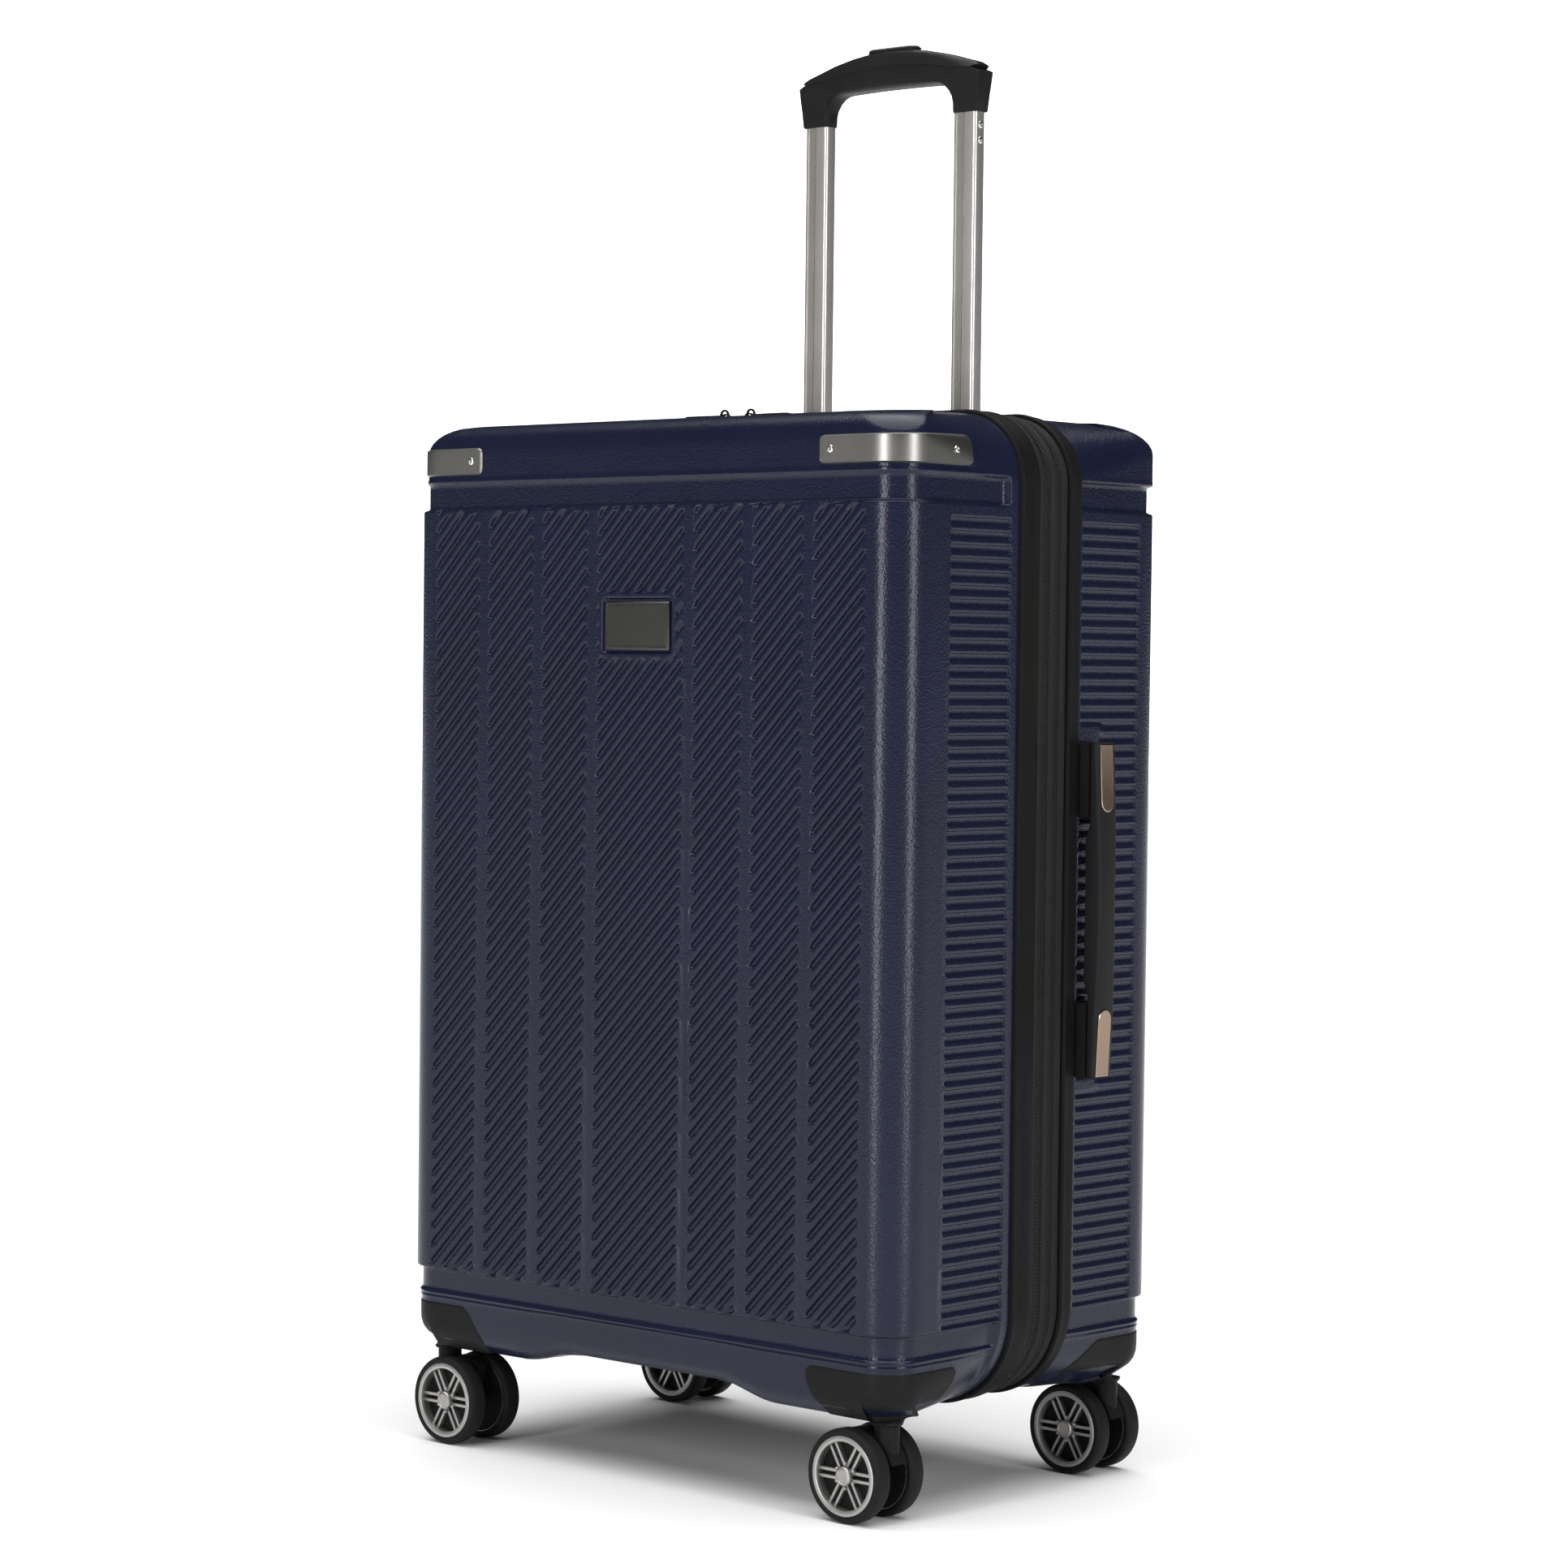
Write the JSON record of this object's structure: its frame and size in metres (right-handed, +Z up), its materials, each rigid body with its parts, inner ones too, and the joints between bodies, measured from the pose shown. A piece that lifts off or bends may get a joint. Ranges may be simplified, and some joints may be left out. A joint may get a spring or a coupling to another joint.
{
  "type": "suitcase",
  "caption": "Hard shell suitcase with moulded diagonal grooves, zipped lid with expander, telescopic trolley handle, side handle and twin-wheel casters.",
  "frame": {"origin": "on the floor under the middle of the whole object", "axes": "+Z up, -Y towards the patterned front shell, +X towards the side handle"},
  "size_m": [0.4602, 0.2702, 0.9495],
  "materials": {
    "shell_navy": "semi-gloss pebble grain",
    "trim_black": "matte",
    "plastic_black": "fine matte",
    "grip_black": "satin",
    "zip_black": "woven tape and moulded coil",
    "lining_cloth": "woven",
    "guard_metal": "satin gunmetal",
    "tube_metal": "satin anodised",
    "steel": "polished",
    "bronze_metal": "satin bronze",
    "tyre_black": "matte",
    "hub_silver": "satin"
  },
  "bodies": {
    "rear_case": {"rear_shell": "shell_navy", "rear_rim_trim": "trim_black", "rear_lining": "lining_cloth", "rear_zip_tape": "zip_black", "packing_straps": "zip_black", "strap_buckle": "plastic_black", "trolley_outer_tubes": "tube_metal", "trolley_foot": "plastic_black", "trolley_bezel": "plastic_black", "side_handle_brackets": "plastic_black", "rl_housing": "plastic_black", "rr_housing": "plastic_black"},
    "expander": {"expander_band": "zip_black", "expander_gusset": "zip_black", "hinge_strip": "zip_black"},
    "lid": {"front_shell": "shell_navy", "front_rim_trim": "trim_black", "front_lining": "lining_cloth", "main_zip_front_tape": "zip_black", "name_plate": "guard_metal", "corner_guard_left": "guard_metal", "corner_guard_right": "guard_metal", "guard_rivets": "steel", "fl_housing": "plastic_black", "fr_housing": "plastic_black"},
    "trolley_middle": {"trolley_middle_tubes": "tube_metal"},
    "trolley_inner": {"trolley_inner_tubes": "tube_metal", "trolley_grip": "plastic_black", "trolley_grip_cover": "grip_black", "trolley_rivets": "steel"},
    "grip_button": {"trolley_button": "tube_metal", "trolley_lock_rods": "steel"},
    "side_handle": {"side_handle_grip": "plastic_black", "side_handle_inserts": "bronze_metal"},
    "slider_left": {"main_slider_left": "steel"},
    "slider_right": {"main_slider_right": "steel"},
    "tab_left": {"pull_tab_left": "steel"},
    "tab_right": {"pull_tab_right": "steel"},
    "expander_zip_slider": {"expander_slider": "steel"},
    "fl_swivel": {"fl_fork": "plastic_black"},
    "fl_outer_wheel": {"fl_outer_tyre": "tyre_black", "fl_outer_hub": "hub_silver"},
    "fl_inner_wheel": {"fl_inner_tyre": "tyre_black", "fl_inner_hub": "hub_silver"},
    "fr_swivel": {"fr_fork": "plastic_black"},
    "fr_outer_wheel": {"fr_outer_tyre": "tyre_black", "fr_outer_hub": "hub_silver"},
    "fr_inner_wheel": {"fr_inner_tyre": "tyre_black", "fr_inner_hub": "hub_silver"},
    "rl_swivel": {"rl_fork": "plastic_black"},
    "rl_outer_wheel": {"rl_outer_tyre": "tyre_black", "rl_outer_hub": "hub_silver"},
    "rl_inner_wheel": {"rl_inner_tyre": "tyre_black", "rl_inner_hub": "hub_silver"},
    "rr_swivel": {"rr_fork": "plastic_black"},
    "rr_outer_wheel": {"rr_outer_tyre": "tyre_black", "rr_outer_hub": "hub_silver"},
    "rr_inner_wheel": {"rr_inner_tyre": "tyre_black", "rr_inner_hub": "hub_silver"}
  },
  "joints": [
    {"name": "expander_slide", "type": "slide", "parent": "rear_case", "child": "expander", "axis": [0, -1, 0], "range_m": [0, 0.04], "deforming": ["expander_gusset"]},
    {"name": "lid_hinge", "type": "hinge", "parent": "expander", "child": "lid", "pos_m": [-0.2304, 0.0064, 0.375], "axis": [0, 0, -1], "range_deg": [0, 150]},
    {"name": "trolley_middle_slide", "type": "slide", "parent": "rear_case", "child": "trolley_middle", "axis": [0, 0, 1], "range_m": [0, 0.11]},
    {"name": "trolley_inner_slide", "type": "slide", "parent": "trolley_middle", "child": "trolley_inner", "axis": [0, 0, 1], "range_m": [-0.231, 0]},
    {"name": "grip_button_press", "type": "slide", "parent": "trolley_inner", "child": "grip_button", "axis": [0, 0, -1], "range_m": [0, 0.003], "stiffness_N_per_m": 900, "springref_m": -0.003},
    {"name": "side_handle_pull", "type": "slide", "parent": "rear_case", "child": "side_handle", "axis": [1, 0, 0], "range_m": [0, 0.012], "stiffness_N_per_m": 600, "springref_m": -0.002},
    {"name": "slider_left_run", "type": "slide", "parent": "expander", "child": "slider_left", "axis": [1, 0, 0], "range_m": [-0.07, 0]},
    {"name": "slider_right_run", "type": "slide", "parent": "expander", "child": "slider_right", "axis": [1, 0, 0], "range_m": [0, 0.12]},
    {"name": "tab_left_flip", "type": "hinge", "parent": "slider_left", "child": "tab_left", "pos_m": [-0.0656, 0.0064, 0.6949], "axis": [0, 1, 0], "range_deg": [0, 100]},
    {"name": "tab_right_flip", "type": "hinge", "parent": "slider_right", "child": "tab_right", "pos_m": [-0.0441, 0.0064, 0.6949], "axis": [0, -1, 0], "range_deg": [0, 100]},
    {"name": "expander_slider_run", "type": "slide", "parent": "expander", "child": "expander_zip_slider", "axis": [0, 0, 1], "range_m": [-0.04, 0.35]},
    {"name": "fl_swivel_turn", "type": "hinge", "parent": "lid", "child": "fl_swivel", "pos_m": [-0.2041, -0.11, 0.06], "axis": [0, 0, 1], "continuous": true},
    {"name": "fl_outer_spin", "type": "hinge", "parent": "fl_swivel", "child": "fl_outer_wheel", "pos_m": [-0.1871, -0.12575, 0.0295], "axis": [0, 1, 0], "continuous": true},
    {"name": "fl_inner_spin", "type": "hinge", "parent": "fl_swivel", "child": "fl_inner_wheel", "pos_m": [-0.1871, -0.09425, 0.0295], "axis": [0, 1, 0], "continuous": true},
    {"name": "fr_swivel_turn", "type": "hinge", "parent": "lid", "child": "fr_swivel", "pos_m": [0.1879, -0.11, 0.06], "axis": [0, 0, 1], "continuous": true},
    {"name": "fr_outer_spin", "type": "hinge", "parent": "fr_swivel", "child": "fr_outer_wheel", "pos_m": [0.1709, -0.12575, 0.0295], "axis": [0, 1, 0], "continuous": true},
    {"name": "fr_inner_spin", "type": "hinge", "parent": "fr_swivel", "child": "fr_inner_wheel", "pos_m": [0.1709, -0.09425, 0.0295], "axis": [0, 1, 0], "continuous": true},
    {"name": "rl_swivel_turn", "type": "hinge", "parent": "rear_case", "child": "rl_swivel", "pos_m": [-0.2041, 0.11, 0.06], "axis": [0, 0, 1], "continuous": true},
    {"name": "rl_outer_spin", "type": "hinge", "parent": "rl_swivel", "child": "rl_outer_wheel", "pos_m": [-0.1871, 0.12575, 0.0295], "axis": [0, 1, 0], "continuous": true},
    {"name": "rl_inner_spin", "type": "hinge", "parent": "rl_swivel", "child": "rl_inner_wheel", "pos_m": [-0.1871, 0.09425, 0.0295], "axis": [0, 1, 0], "continuous": true},
    {"name": "rr_swivel_turn", "type": "hinge", "parent": "rear_case", "child": "rr_swivel", "pos_m": [0.1879, 0.11, 0.06], "axis": [0, 0, 1], "continuous": true},
    {"name": "rr_outer_spin", "type": "hinge", "parent": "rr_swivel", "child": "rr_outer_wheel", "pos_m": [0.1709, 0.12575, 0.0295], "axis": [0, 1, 0], "continuous": true},
    {"name": "rr_inner_spin", "type": "hinge", "parent": "rr_swivel", "child": "rr_inner_wheel", "pos_m": [0.1709, 0.09425, 0.0295], "axis": [0, 1, 0], "continuous": true}
  ]
}
